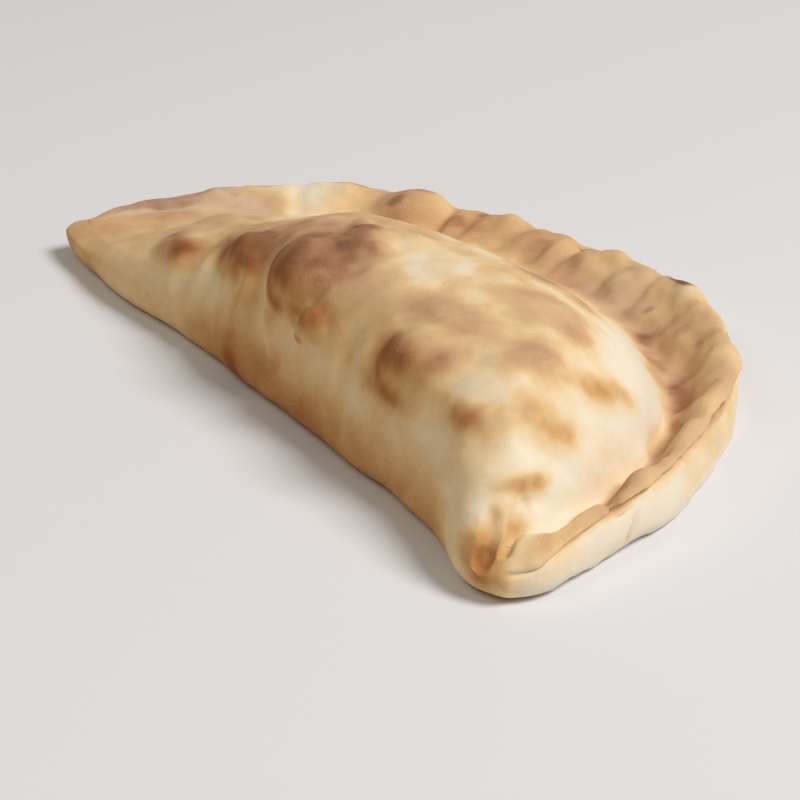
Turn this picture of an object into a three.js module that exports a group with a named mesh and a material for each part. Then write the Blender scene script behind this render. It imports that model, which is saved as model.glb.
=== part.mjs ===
// A whole baked calzone: a round of pizza dough folded in half over its filling and crimped along the round
// edge. Millimetres, +Z up, resting on z = 0. +X runs along the fold to the blunt front tip, +Y from fold to
// rim.
// One closed skin: rings run round the edge, and each ring's rows climb from the flat underside over the edge
// to a spine line under the crown, where the two halves of the rings meet.
import * as THREE from "three";

// ---- overall size -----------------------------------------------------------------------------------------
const HALF_LENGTH = 150; // half of the fold, from the middle to a tip
const SPINE_SHARE = 0.62; // the spine's length as a share of the fold's
const SPINE_Y = 52; // how far the spine's middle lies from the fold
const SPINE_DROP = 8.8; // how much nearer the fold its two ends lie,
const SPINE_DROP_POWER = 8; // with most of the bend close to them

// ---- the edge: [degrees, mm] rows, from the front tip (0) over the back of the rim (90) to the far tip
// (180) and on along the fold (270)
const RIM_RADIUS = [
  [0, 150], [5, 149.6], [12, 147.3], [22, 147.5], [36, 146.5], [50, 149],
  [62, 150.5], [85, 148], [105, 146.5], [125, 148], [150, 151], [180, 150],
];
const RIM_HEIGHT = [
  [0, 14.5], [8, 15.4], [14, 16], [20, 18], [35, 19], [60, 22], [75, 22.5], [95, 18.5], [115, 17.5],
  [130, 19], [150, 19.6], [170, 15.8], [185, 12.4], [205, 11], [340, 11],
];
const VALLEY_HEIGHT = [
  [0, 14.5], [8, 12.5], [20, 9.5], [35, 8.5], [60, 9.5], [90, 11],
  [130, 12], [155, 14], [170, 14], [185, 13], [205, 11], [340, 11],
];
// From the widest line in to the edge of the flat underside, and the widest line's height.
const UNDERCUT = [[0, 9], [16, 7], [26, 4.5], [45, 3], [60, 4], [80, 8], [180, 8], [270, 8]];
const BULGE_HEIGHT = [[0, 6.5], [15, 7], [26, 6], [45, 6], [70, 8], [160, 8], [190, 9], [345, 8]];
// From the widest line in to the rim's crest, and the least width of the slope down inside it.
const LIP_INSET = [
  [0, 9.5], [9, 7], [20, 5], [165, 5.5], [190, 9.5], [212, 9], [240, 5], [335, 5], [350, 9],
];
const LEAST_INNER_SLOPE = 2;
const FOLD_BAND = 10; // the width along the fold of the rows that carry the rim elsewhere
const RIM_SIDE_FADE = 6; // degrees to either side of a tip where rim turns into fold

// ---- the fold's line: [mm along it, mm outside the straight line between the tips]
const FOLD_BOW = [
  [-150, 7.5], [-105, 7.5], [-75, 4.5], [-45, 1.5], [-32, 1], [-15, 2.6], [8, 0.6], [26, 1],
  [50, 1], [80, -0.5], [104, 1], [115, 4], [124, 7.9], [134, 11], [150, 11.6],
];
const TIP_POWER = 0.45; // a small power gives square tips
const NOSE = { x: 150, y: -5, reach: 12, pullX: 1.6, pullY: 1.2 }; // the front tip's corner, rounded off

// ---- the belly over the filling ---------------------------------------------------------------------------
const CROWN_HEIGHT = [
  [-130, 22], [-100, 27], [-70, 32], [-45, 40], [-22, 48],
  [5, 51], [40, 51], [75, 49.5], [100, 46], [125, 38],
];
// From the widest line in to the foot of the belly.
const BELLY_INSET = [[0, 10], [15, 13], [35, 16], [50, 21.5], [70, 25], [110, 27], [150, 20], [180, 10]];
const BELLY_REACH = [[0, 20], [25, 29], [50, 46], [65, 57], [80, 59], [95, 56], [130, 52], [180, 50]];
const BELLY_POWER = [
  [0, 0.75], [30, 0.8], [43, 0.7], [53, 0.88], [65, 1.15], [78, 1.5], [90, 1.9], [110, 2.1],
  [130, 2], [180, 1.5],
];
const FOOT_HEIGHT = 9;
const FOOT_SLOPE = 0.5;
const FOLD_REACH = 34; // from the fold in to the full height
const FOLD_POWER = 1 / 1.9; // near 1/2 gives a quarter-round wall
const BLEND = 4; // rounding between the rim and the belly

// ---- the seam and the lip over it, on the rim's outer wall ------------------------------------------------
const SEAM_HEIGHT = [
  [0, 9.5], [7, 12.2], [18, 15], [25, 16.4], [37, 16.4], [54, 16.6], [80, 16], [110, 13], [180, 10],
];
const SEAM_DEPTH = 1.7;
const SEAM_HALF_WIDTH = 1.3;
const LIP_OUT = 0.7; // how far the lip stands out
const LIP_RISE = 2; // from the seam up to the lip's middle
const LIP_HALF_WIDTH = 1.8;
const SEAM_START = -10; // degrees round the edge: the seam begins just past the front tip
const SEAM_FULL = 10; // and reaches its depth here
const SEAM_END = 178;
const SEAM_END_FADE = 14;

// ---- blisters and hollows on the belly: x, y, half length, half width, turn in degrees, height
const BLISTERS = [
  [-88, 32, 24, 12, 0, 3.6],
  [-75, 7, 16, 11, 0, 1.8],
  [-37, 15, 20, 13, 12, 3.2],
  [0, 17, 20, 17, 15, 4.4],
  [21, 6, 13, 8, 0, 1.8],
  [11, 32, 13, 10, 20, 1.8],
  [14, 48, 12, 10, 0, 1.8],
  [-8, 41, 12, 4, -42, 1.2],
  [4, 38, 12, 10, 0, 3.2],
  [20, 22, 8, 10, 0, -1.8],
  [75, 14, 20, 17, 40, 4],
  [76, 30, 16, 5, 35, 1.4],
  [48, 44, 22, 8, 15, 1],
  [106, 11, 13, 9, 0, 1.4],
  [92, 24, 9, 5, 60, -0.9],
  [97, 36, 16, 10, 75, 1.4],
  [101, 63, 18, 9, 100, 1],
  [113, 30, 9, 8, 88, 0.8],
  [119, 10, 10, 10, 0, -1.4],
  [128.5, 15, 13, 4.5, 95, 1.9],
  [132, 19, 9, 4, 95, -1.6],
  [138, 3.5, 8, 4, -51, 1.4],
  [146, 8, 12, 5, 90, 1],
];

// ---- crisp bubbles, which rise steeply from their edge: the same
const BUBBLES = [
  [-78, 8, 12, 9, 0, 0.6],
  [-35, 12, 17, 10, 12, 1.8],
  [3, 13, 14, 14, 15, 3.2],
  [20, 6, 12, 6.5, 0, 0.8],
  [74, 13, 17, 14, 40, 2],
  [11, 31, 9, 7, 22, 1],
];

// ---- creases by the front tip: from x, y to x, y, half width, depth
const CREASES = [
  [133, 13.5, 138, 6.5, 3, 2.2],
  [138, 6.5, 142.5, 1, 2.8, 2.2],
  [134.5, 1.6, 138.8, -2.7, 3.6, 1.4],
  [138.8, -2.7, 142.5, -9, 3.6, 1.8],
  [122, 20, 124, 34, 4, 0.8],
];

// ---- lumps along the rim: degrees, mm in from the widest line, half length, half width, height
const RIM_LUMPS = [
  [3, 5, 8, 5, 1],
  [22, 7, 12, 6, 1.8],
  [35, 7, 14, 6, 1.8],
  [46, 8, 12, 8, 1.2],
  [46, 15, 9, 6, 0.8],
  [54, 19, 9, 7, 1.8],
  [56, 7, 10, 7, 1.2],
  [65, 8, 9, 7, 0.8],
  [68, 16, 11, 8, 2],
  [75, 6, 8, 6, 0.8],
  [77.5, 18, 8, 8, 1.2],
  [78.5, 4, 8, 4, 0.8],
  [87, 16, 12, 9, 1.2],
  [94, 6, 7, 6, 1.6],
  [96, 13, 9, 10, 2.4],
  [100.5, 6, 7, 6, -1.4],
  [102.5, 14, 4, 12, 1.2],
  [107, 14, 9, 10, 2],
  [112, 19, 9, 7, -0.8],
  [116.5, 13, 4.5, 12, 1.8],
  [120.5, 14, 8, 9, 1.6],
  [114, 6, 9, 7, 2.2],
  [128.5, 11, 17, 12, 5.8],
  [139, 6, 12, 8, 1.4],
  [152, 6, 9, 8, -0.6],
  [159, 6, 10, 8, 1.4],
  [168, 6, 12, 8, 0.6],
];

// ---- creases pressed across the rim: degrees on the crest, degrees at the belly, half width, depth
const PLEATS = [
  [16, 14, 4, 1.6],
  [29, 28, 4, 1],
  [40.5, 42, 6, 0.6],
  [51, 49, 5, 1.4],
  [61, 57, 6, 0.5],
  [74, 72, 6, 0.8],
  [84.5, 82, 5, 0.9],
  [91, 90, 5, 0.6],
  [101, 99, 4, 1.3],
  [111, 110, 6, 0.7],
  [124, 122, 5, 2],
  [137, 138, 6, 0.8],
  [147, 147, 6, 0.8],
  [158, 158, 8, 0.5],
];
const PLEAT_START = 1; // distance in from the widest line where a pleat begins
const PLEAT_FADE = 4; // and how far it takes to reach its depth
const PLEAT_END_SHARE = 0.8; // it fades out over the last part of the rim's width

// ---- grooves in the fold's wall: x at half height, half width, depth, lean in mm of x per mm down
const FLUTES = [
  [-60, 8, 1.4, 0.2],
  [-43, 10, 2.6, 0.15],
  [-8, 9, 3.8, 0.6],
  [10, 6, 2.6, -0.4],
  [47, 7, 2.2, 0.2],
  [95, 9, 0.9, 0],
];
const FLUTE_MIDDLE = 25; // the half height that they lean about
const FLUTE_LOW = 5;
const FLUTE_HIGH = 44;
const FLUTE_FADE = 12;
const FLUTE_REACH = 26; // how far in from the fold they go

// ---- how finely the skin is divided -----------------------------------------------------------------------
const RINGS = 170;
const TIP_CROWDING = 0.06; // rings stand closer at the two tips
const UNDERSIDE_ROWS = 3;
const WALL_ROWS = 10;
const RIM_ROWS = 6;
const BELLY_ROWS = 14;
const NORMAL_STEP = 1e-3;

// ---- the climb, which says how far up a row lies ----------------------------------------------------------
const UNDERSIDE = -1; // the edge of the flat underside; 0 is the widest line
const WALL_TOP = 0.3; // the rim's crest
const BELLY_FOOT = 0.55;
const SPINE = 1;
const SEAM_LOWEST = -0.6; // the seam and the lip lie between these two climbs,
const SEAM_HIGHEST = WALL_TOP;
const SEAM_FADES_FROM = 0.8 * WALL_TOP; // and fade out over the last stretch
const RELIEF_FULL_FROM = -0.5; // relief grows from nothing at the underside to here
const RIM_RELIEF_FULL_FROM = WALL_TOP / 2; // and the rim's own from the widest line to here

const DEGREE = Math.PI / 180;
const FULL_TURN = 2 * Math.PI;
const clamp01 = (v) => Math.min(1, Math.max(0, v));
const mix = (a, b, t) => a + (b - a) * t;
const sum = (rows, value) => rows.reduce((total, row) => total + value(...row), 0);

function ease(from, to, v) {
  const t = clamp01((v - from) / (to - from));
  return t * t * (3 - 2 * t);
}

// A round bump: 1 in the middle, 0 from a squared distance of 1 outwards.
const bump = (squared) => Math.max(1 - squared, 0) ** 2;

// The larger of two heights with their meeting rounded over.
const roundedMax = (a, b, radius) => (a + b + Math.hypot(a - b, radius)) / 2;

// A value read from a table of [place, value] rows by a smooth curve through them, held past its ends.
function along(table, place) {
  const last = table.length - 1;
  if (place <= table[0][0]) return table[0][1];
  if (place >= table[last][0]) return table[last][1];
  const i = table.findIndex((row) => row[0] > place);
  const [from, low] = table[i - 1];
  const [to, high] = table[i];
  const span = to - from;
  const t = (place - from) / span;
  const startBend = (slopeAt(table, i - 1) * span - (high - low)) * t * (1 - t) ** 2;
  const endBend = (slopeAt(table, i) * span - (high - low)) * t ** 2 * (t - 1);
  return mix(low, high, t) + startBend + endBend;
}

// The curve's slope at a row: that of the line between its neighbours, and level at both ends.
function slopeAt(table, row) {
  if (row === 0 || row === table.length - 1) return 0;
  return (table[row + 1][1] - table[row - 1][1]) / (table[row + 1][0] - table[row - 1][0]);
}

// The same for a table that closes round the edge: past its last row it runs back to its first.
function around(table, degrees) {
  return along([...table, [360, table[0][1]]], degrees);
}

// Degrees round the edge counted from -90 to 270, so that they run on through the front tip.
const fromFrontTip = (degrees) => (degrees > 270 ? degrees - 360 : degrees);

// 1 along the rim and 0 along the fold.
function rimSide(degrees) {
  const place = fromFrontTip(degrees);
  const pastFrontTip = ease(-RIM_SIDE_FADE, RIM_SIDE_FADE, place);
  return pastFrontTip * (1 - ease(180 - RIM_SIDE_FADE, 180 + RIM_SIDE_FADE, place));
}

// ---- the outline ------------------------------------------------------------------------------------------
function foldLineY(x) {
  const narrowing = Math.sqrt(Math.max(1 - (x / HALF_LENGTH) ** 2, 0));
  return -along(FOLD_BOW, x) * narrowing ** TIP_POWER;
}

function outlinePoint(angle) {
  const degrees = angle / DEGREE;
  const onRim = degrees <= 180;
  const radius = onRim ? along(RIM_RADIUS, degrees) : HALF_LENGTH;
  const x = radius * Math.cos(angle);
  const y = onRim ? radius * Math.sin(angle) : foldLineY(x);
  const rounded = bump(((x - NOSE.x) ** 2 + (y - NOSE.y) ** 2) / NOSE.reach ** 2);
  return new THREE.Vector2(x - NOSE.pullX * rounded, y + NOSE.pullY * rounded);
}

const bandWidth = (degrees) => (degrees <= 180 ? along(BELLY_INSET, degrees) : FOLD_BAND);

// ---- heights over the plan --------------------------------------------------------------------------------
// The belly rises as a quarter-round from the fold and more gently from the rim.
function bellyHeight(x, y) {
  const degrees = y < 0 ? (x < 0 ? 180 : 0) : Math.atan2(y, x) / DEGREE;
  const footRadius = along(RIM_RADIUS, degrees) - along(BELLY_INSET, degrees);
  const fromRim = (footRadius ** 2 - x ** 2 - y ** 2) / (2 * footRadius);
  if (fromRim <= 0) return FOOT_HEIGHT + fromRim * FOOT_SLOPE;
  const fromFold = Math.max(y - foldLineY(x), 0);
  const foldRise = (1 - clamp01(1 - fromFold / FOLD_REACH) ** 2) ** FOLD_POWER;
  const rimShare = clamp01(fromRim / along(BELLY_REACH, degrees));
  const rimRise = Math.sin((rimShare * Math.PI) / 2) ** along(BELLY_POWER, degrees);
  return FOOT_HEIGHT + (along(CROWN_HEIGHT, x) - FOOT_HEIGHT) * foldRise * rimRise;
}

// The rim's own height at a distance in from the widest line: a round outer wall up to the crest, then down.
function rimHeight(degrees, inset) {
  const bulge = around(BULGE_HEIGHT, degrees);
  const crest = around(RIM_HEIGHT, degrees);
  const lip = around(LIP_INSET, degrees);
  if (inset < lip) return mix(bulge, crest, Math.sqrt(1 - (1 - inset / lip) ** 2));
  const slopeEnd = Math.max(bandWidth(degrees), lip + LEAST_INNER_SLOPE);
  return mix(crest, around(VALLEY_HEIGHT, degrees), ease(lip, slopeEnd, inset));
}

function topHeight(degrees, inset, place) {
  const blend = BLEND * clamp01(inset / around(LIP_INSET, degrees));
  return roundedMax(rimHeight(degrees, inset), bellyHeight(place.x, place.y), blend);
}

// How far the lip stands out, or the seam cuts in, at a height on the outer wall.
function seamOffset(degrees, height, climb) {
  if (climb <= SEAM_LOWEST || climb >= SEAM_HIGHEST) return 0;
  const place = fromFrontTip(degrees);
  const begun = ease(SEAM_START, SEAM_FULL, place);
  const seamed = begun * (1 - ease(SEAM_END - SEAM_END_FADE, SEAM_END, place));
  const aboveSeam = height - along(SEAM_HEIGHT, Math.max(place, 0));
  const lip = LIP_OUT * bump(((aboveSeam - LIP_RISE) / LIP_HALF_WIDTH) ** 2);
  const seam = SEAM_DEPTH * bump((aboveSeam / SEAM_HALF_WIDTH) ** 2);
  return seamed * (lip - seam) * (1 - ease(SEAM_FADES_FROM, SEAM_HIGHEST, climb));
}

// ---- the skin without its relief --------------------------------------------------------------------------
// How far in from the widest line a row lies: under the edge, or over it towards the spine.
function rowInset(degrees, climb, reach) {
  const quarter = (Math.PI / 2) * (climb < 0 ? -climb : clamp01(climb / WALL_TOP));
  if (climb < 0) return around(UNDERCUT, degrees) * (1 - Math.cos(quarter));
  const lip = around(LIP_INSET, degrees);
  const band = bandWidth(degrees);
  const overRim = clamp01((climb - WALL_TOP) / (BELLY_FOOT - WALL_TOP));
  const overBelly = clamp01((climb - BELLY_FOOT) / (SPINE - BELLY_FOOT));
  return lip * (1 - Math.cos(quarter)) + (band - lip) * overRim + (reach - band) * overBelly;
}

const spineY = (angle) => SPINE_Y - SPINE_DROP * Math.cos(angle) ** SPINE_DROP_POWER;

// A point of the skin, from the angle round the edge and the climb from the underside.
function skinPoint(angle, climb) {
  const turn = (angle + FULL_TURN) % FULL_TURN;
  const degrees = turn / DEGREE;
  const place = outlinePoint(turn);
  const inward = new THREE.Vector2(SPINE_SHARE * HALF_LENGTH * Math.cos(turn), spineY(turn)).sub(place);
  const reach = inward.length();
  inward.divideScalar(reach);
  const inset = rowInset(degrees, climb, reach);
  place.addScaledVector(inward, inset);
  const underHeight = around(BULGE_HEIGHT, degrees) * (1 - Math.sin((-climb * Math.PI) / 2));
  const height = climb < 0 ? underHeight : topHeight(degrees, inset, place);
  place.addScaledVector(inward, -seamOffset(degrees, height, climb));
  return { point: new THREE.Vector3(place.x, place.y, height), degrees, inset };
}

function skinNormal(angle, climb) {
  const before = Math.max(climb - NORMAL_STEP, UNDERSIDE);
  const after = Math.min(climb + NORMAL_STEP, SPINE);
  const between = (start, end) => skinPoint(...end).point.sub(skinPoint(...start).point);
  const roundEdge = between([angle - NORMAL_STEP, climb], [angle + NORMAL_STEP, climb]);
  const upwards = between([angle, before], [angle, after]);
  return roundEdge.cross(upwards).normalize();
}

// ---- relief -----------------------------------------------------------------------------------------------
// Squared distance from a place on the belly, 1 at the edge of an oval round it.
function oval(point, x, y, halfLength, halfWidth, turn) {
  const away = point.clone().sub(new THREE.Vector3(x, y, bellyHeight(x, y)));
  const lengthwise = away.x * Math.cos(turn * DEGREE) + away.y * Math.sin(turn * DEGREE);
  const crosswise = away.lengthSq() - lengthwise ** 2;
  return (lengthwise / halfLength) ** 2 + crosswise / halfWidth ** 2;
}

function blisterRelief(point) {
  const smooth = sum(BLISTERS, (x, y, length, width, turn, height) => {
    return height * bump(oval(point, x, y, length, width, turn));
  });
  const crisp = sum(BUBBLES, (x, y, length, width, turn, height) => {
    return height * Math.max(1 - oval(point, x, y, length, width, turn), 0);
  });
  return smooth + crisp;
}

// Where two creases meet, the deeper one counts.
function creaseRelief(point) {
  const place = new THREE.Vector3(point.x, point.y, 0);
  const nearest = new THREE.Vector3();
  const depths = CREASES.map(([fromX, fromY, toX, toY, halfWidth, depth]) => {
    const crease = new THREE.Line3(new THREE.Vector3(fromX, fromY, 0), new THREE.Vector3(toX, toY, 0));
    crease.closestPointToPoint(place, true, nearest);
    return depth * bump(nearest.distanceToSquared(place) / halfWidth ** 2);
  });
  return -Math.max(...depths);
}

function lumpRelief(degrees, inset) {
  const place = fromFrontTip(degrees);
  return sum(RIM_LUMPS, (at, middle, halfLength, halfWidth, height) => {
    const roundEdge = (place - at) * DEGREE * HALF_LENGTH;
    return height * bump((roundEdge / halfLength) ** 2 + ((inset - middle) / halfWidth) ** 2);
  });
}

function pleatRelief(degrees, inset) {
  const band = bandWidth(degrees);
  const begins = ease(PLEAT_START, PLEAT_START + PLEAT_FADE, inset);
  const ends = 1 - ease(band * PLEAT_END_SHARE, band, inset);
  const place = fromFrontTip(degrees);
  return -begins * ends * sum(PLEATS, (onCrest, atBelly, halfWidth, depth) => {
    const roundEdge = (place - mix(onCrest, atBelly, clamp01(inset / band))) * DEGREE * HALF_LENGTH;
    return depth * bump((roundEdge / halfWidth) ** 2);
  });
}

function fluteRelief(point, degrees) {
  const risen = ease(FLUTE_LOW, FLUTE_LOW + FLUTE_FADE, point.z);
  const belowTop = 1 - ease(FLUTE_HIGH - FLUTE_FADE, FLUTE_HIGH, point.z);
  const nearFold = 1 - ease(FLUTE_REACH / 2, FLUTE_REACH, point.y);
  return -risen * belowTop * nearFold * (1 - rimSide(degrees)) * sum(FLUTES, (at, halfWidth, depth, lean) => {
    return depth * bump(((point.x - at - lean * (FLUTE_MIDDLE - point.z)) / halfWidth) ** 2);
  });
}

// A point of the skin with its blisters, lumps, pleats and flutes; the underside stays flat.
function reliefPoint(angle, climb) {
  const { point, degrees, inset } = skinPoint(angle, climb);
  if (climb <= UNDERSIDE) return point;
  const onRim = creaseRelief(point) + lumpRelief(degrees, inset) + pleatRelief(degrees, inset);
  const overall = blisterRelief(point) + fluteRelief(point, degrees);
  const height = overall + onRim * clamp01(climb / RIM_RELIEF_FULL_FROM);
  point.addScaledVector(skinNormal(angle, climb), height * ease(UNDERSIDE, RELIEF_FULL_FROM, climb));
  point.z = Math.max(point.z, 0);
  return point;
}

// ---- the closed skin --------------------------------------------------------------------------------------
function climbs() {
  const stretches = [
    [UNDERSIDE, 0, UNDERSIDE_ROWS],
    [0, WALL_TOP, WALL_ROWS],
    [WALL_TOP, BELLY_FOOT, RIM_ROWS],
    [BELLY_FOOT, SPINE, BELLY_ROWS],
  ];
  const rowsOf = ([from, to, rows]) => Array.from({ length: rows }, (_, i) => mix(from, to, i / rows));
  return stretches.flatMap(rowsOf);
}

function ringAngle(ring) {
  const turn = (ring + 0.5) / RINGS;
  return FULL_TURN * turn - TIP_CROWDING * Math.sin(2 * FULL_TURN * turn);
}

// Rings ring and RINGS - 1 - ring mirror each other across the spine, so they share its points.
function calzoneGeometry() {
  const rows = climbs();
  const positions = [];
  const faces = [];
  for (let ring = 0; ring < RINGS; ring++) {
    for (const climb of rows) positions.push(...reliefPoint(ringAngle(ring), climb).toArray());
  }
  const spineStart = positions.length / 3;
  for (let ring = 0; ring < RINGS / 2; ring++) {
    positions.push(...reliefPoint(ringAngle(ring), SPINE).toArray());
  }

  const spineIndex = (ring) => spineStart + Math.min(ring, RINGS - 1 - ring);
  const index = (ring, row) => (row === rows.length ? spineIndex(ring) : ring * rows.length + row);
  const quad = (a, b, c, d) => {
    if (a !== b) faces.push(a, b, c);
    if (c !== d) faces.push(a, c, d);
  };
  for (let ring = 0; ring < RINGS; ring++) {
    const next = (ring + 1) % RINGS;
    for (let row = 0; row < rows.length; row++) {
      quad(index(ring, row), index(next, row), index(next, row + 1), index(ring, row + 1));
    }
  }
  for (let ring = 0; ring < RINGS / 2 - 1; ring++) {
    const mirror = RINGS - 1 - ring;
    quad(index(ring, 0), index(mirror, 0), index(mirror - 1, 0), index(ring + 1, 0));
  }

  const geometry = new THREE.BufferGeometry();
  geometry.setAttribute("position", new THREE.Float32BufferAttribute(positions, 3));
  geometry.setIndex(faces);
  return geometry;
}

// Moves the middle of the geometry's outline over the origin and leaves its height alone.
function centreOverOrigin(geometry) {
  geometry.computeBoundingBox();
  const middle = geometry.boundingBox.getCenter(new THREE.Vector3());
  return geometry.translate(-middle.x, -middle.y, 0);
}

const bakedDough = new THREE.MeshStandardMaterial({ name: "baked_dough", color: 0xdcb98a, roughness: 0.8 });

const calzone = new THREE.Mesh(centreOverOrigin(calzoneGeometry()), bakedDough);
calzone.name = "calzone";

const part = new THREE.Group();
part.name = "calzone_part";
part.add(calzone);
export default part;
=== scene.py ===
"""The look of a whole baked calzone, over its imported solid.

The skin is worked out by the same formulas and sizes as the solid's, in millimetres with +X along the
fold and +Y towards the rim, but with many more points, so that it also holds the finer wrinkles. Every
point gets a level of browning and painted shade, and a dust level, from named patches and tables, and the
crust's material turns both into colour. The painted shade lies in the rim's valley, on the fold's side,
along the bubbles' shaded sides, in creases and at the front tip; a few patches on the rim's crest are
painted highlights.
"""

from math import cos, pi, radians, sin

import bpy
import numpy as np
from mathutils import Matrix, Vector, noise

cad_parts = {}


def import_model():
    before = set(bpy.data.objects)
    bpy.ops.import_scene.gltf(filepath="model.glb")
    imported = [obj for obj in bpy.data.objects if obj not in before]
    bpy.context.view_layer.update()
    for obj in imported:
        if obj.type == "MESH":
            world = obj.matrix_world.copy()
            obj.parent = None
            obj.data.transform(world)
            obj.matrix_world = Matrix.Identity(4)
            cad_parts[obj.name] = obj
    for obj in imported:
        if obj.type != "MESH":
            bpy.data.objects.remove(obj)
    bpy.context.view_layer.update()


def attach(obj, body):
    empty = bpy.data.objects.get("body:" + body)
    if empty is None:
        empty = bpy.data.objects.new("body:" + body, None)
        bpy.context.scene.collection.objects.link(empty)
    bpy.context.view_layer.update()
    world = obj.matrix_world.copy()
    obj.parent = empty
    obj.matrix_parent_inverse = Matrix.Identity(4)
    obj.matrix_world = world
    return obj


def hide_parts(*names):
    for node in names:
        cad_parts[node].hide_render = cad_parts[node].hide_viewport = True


MM = 0.001

# ---- places of the colour sockets on Blender's mix node ------------------------------------------
MIX_COLOUR_A, MIX_COLOUR_B, MIX_COLOUR_OUT = 6, 7, 2

# ---- overall size, mm ----------------------------------------------------------------------------
HALF_LENGTH = 150.0
SPINE_SHARE = 0.62
SPINE_Y = 52.0
SPINE_DROP, SPINE_DROP_POWER = 8.8, 8

# ---- the edge: (degrees from the front tip round by rim, far tip and fold, mm) -------------------
RIM_RADIUS = [
    (0, 150),
    (5, 149.6),
    (12, 147.3),
    (22, 147.5),
    (36, 146.5),
    (50, 149),
    (62, 150.5),
    (85, 148),
    (105, 146.5),
    (125, 148),
    (150, 151),
    (180, 150),
]
RIM_HEIGHT = [
    (0, 14.5),
    (8, 15.4),
    (14, 16),
    (20, 18),
    (35, 19),
    (60, 22),
    (75, 22.5),
    (95, 18.5),
    (115, 17.5),
    (130, 19),
    (150, 19.6),
    (170, 15.8),
    (185, 12.4),
    (205, 11),
    (340, 11),
]
VALLEY_HEIGHT = [
    (0, 14.5),
    (8, 12.5),
    (20, 9.5),
    (35, 8.5),
    (60, 9.5),
    (90, 11),
    (130, 12),
    (155, 14),
    (170, 14),
    (185, 13),
    (205, 11),
    (340, 11),
]
UNDERCUT = [(0, 9), (16, 7), (26, 4.5), (45, 3), (60, 4), (80, 8), (180, 8), (270, 8)]
BULGE_HEIGHT = [(0, 6.5), (15, 7), (26, 6), (45, 6), (70, 8), (160, 8), (190, 9), (345, 8)]
LIP_INSET = [(0, 9.5), (9, 7), (20, 5), (165, 5.5), (190, 9.5), (212, 9), (240, 5), (335, 5), (350, 9)]
FOLD_BAND = 10.0
LEAST_INSIDE = 2.0

# ---- the fold's line: (mm along it, mm outside the straight line between the tips) ---------------
FOLD_BOW = [
    (-150, 7.5),
    (-105, 7.5),
    (-75, 4.5),
    (-45, 1.5),
    (-32, 1),
    (-15, 2.6),
    (8, 0.6),
    (26, 1),
    (50, 1),
    (80, -0.5),
    (104, 1),
    (115, 4),
    (124, 7.9),
    (134, 11),
    (150, 11.6),
]
TIP_POWER = 0.45
NOSE = (150.0, -5.0)
NOSE_REACH, NOSE_PULL = 12.0, (1.6, 1.2)

# ---- the belly over the filling ------------------------------------------------------------------
CROWN_HEIGHT = [
    (-130, 22),
    (-100, 27),
    (-70, 32),
    (-45, 40),
    (-22, 48),
    (5, 51),
    (40, 51),
    (75, 49.5),
    (100, 46),
    (125, 38),
]
BELLY_INSET = [(0, 10), (15, 13), (35, 16), (50, 21.5), (70, 25), (110, 27), (150, 20), (180, 10)]
BELLY_REACH = [(0, 20), (25, 29), (50, 46), (65, 57), (80, 59), (95, 56), (130, 52), (180, 50)]
BELLY_POWER = [
    (0, 0.75),
    (30, 0.8),
    (43, 0.7),
    (53, 0.88),
    (65, 1.15),
    (78, 1.5),
    (90, 1.9),
    (110, 2.1),
    (130, 2),
    (180, 1.5),
]
FOOT_HEIGHT = 9.0
FOOT_SLOPE = 0.5
FOLD_REACH = 34.0
FOLD_POWER = 1 / 1.9
BLEND = 4.0
RIM_SIDE_FADE = 6.0

# ---- the seam and the lip over it ----------------------------------------------------------------
SEAM_HEIGHT = [
    (0, 9.5),
    (7, 12.2),
    (18, 15),
    (25, 16.4),
    (37, 16.4),
    (54, 16.6),
    (80, 16),
    (110, 13),
    (180, 10),
]
SEAM_DEPTH = 1.7
SEAM_HALF_WIDTH = 1.3
LIP_OUT = 0.7
LIP_RISE = 2.0
LIP_HALF_WIDTH = 1.8
SEAM_START, SEAM_FULL = -10.0, 10.0
SEAM_END, SEAM_FADE = 178.0, 14.0
SEAM_CUT_FOOT, SEAM_CUT_END = -0.6, 0.8

# ---- a crease in the outer wall, with painted shade along its bottom: degrees, mm of height, lean, half width, depth, how dark ---
WALL_CREASE_AT, WALL_CREASE_MIDDLE, WALL_CREASE_LEAN = 17.9, 8.2, 0.22
WALL_CREASE_LOW, WALL_CREASE_HIGH, WALL_CREASE_FADE = 2.5, 13.5, 3.0
WALL_CREASE_HALF_WIDTH, WALL_CREASE_DEPTH, WALL_CREASE_SHADE = 1.5, 1.0, 0.3

# ---- blisters and hollows on the belly: x, y, half length, half width, turn in degrees, height ---
BLISTERS = [
    (-88, 32, 24, 12, 0, 3.6),
    (-75, 7, 16, 11, 0, 1.8),
    (-37, 15, 20, 13, 12, 3.2),
    (0, 17, 20, 17, 15, 4.4),
    (21, 6, 13, 8, 0, 1.8),
    (11, 32, 13, 10, 20, 1.8),
    (14, 48, 12, 10, 0, 1.8),
    (-8, 41, 12, 4, -42, 1.2),
    (4, 38, 12, 10, 0, 3.2),
    (20, 22, 8, 10, 0, -1.8),
    (75, 14, 20, 17, 40, 4),
    (76, 30, 16, 5, 35, 1.4),
    (48, 44, 22, 8, 15, 1),
    (106, 11, 13, 9, 0, 1.4),
    (92, 24, 9, 5, 60, -0.9),
    (97, 36, 16, 10, 75, 1.4),
    (101, 63, 18, 9, 100, 1),
    (113, 30, 9, 8, 88, 0.8),
    (119, 10, 10, 10, 0, -1.4),
    (128.5, 15, 13, 4.5, 95, 1.9),
    (132, 19, 9, 4, 95, -1.6),
    (138, 3.5, 8, 4, -51, 1.4),
    (146, 8, 12, 5, 90, 1),
]

# ---- crisp bubbles, which rise steeply from their edge: the same ---------------------------------
BUBBLES = [
    (-78, 8, 12, 9, 0, 0.6),
    (-35, 12, 17, 10, 12, 1.8),
    (3, 13, 14, 14, 15, 3.2),
    (20, 6, 12, 6.5, 0, 0.8),
    (74, 13, 17, 14, 40, 2),
    (11, 31, 9, 7, 22, 1),
]

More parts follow.
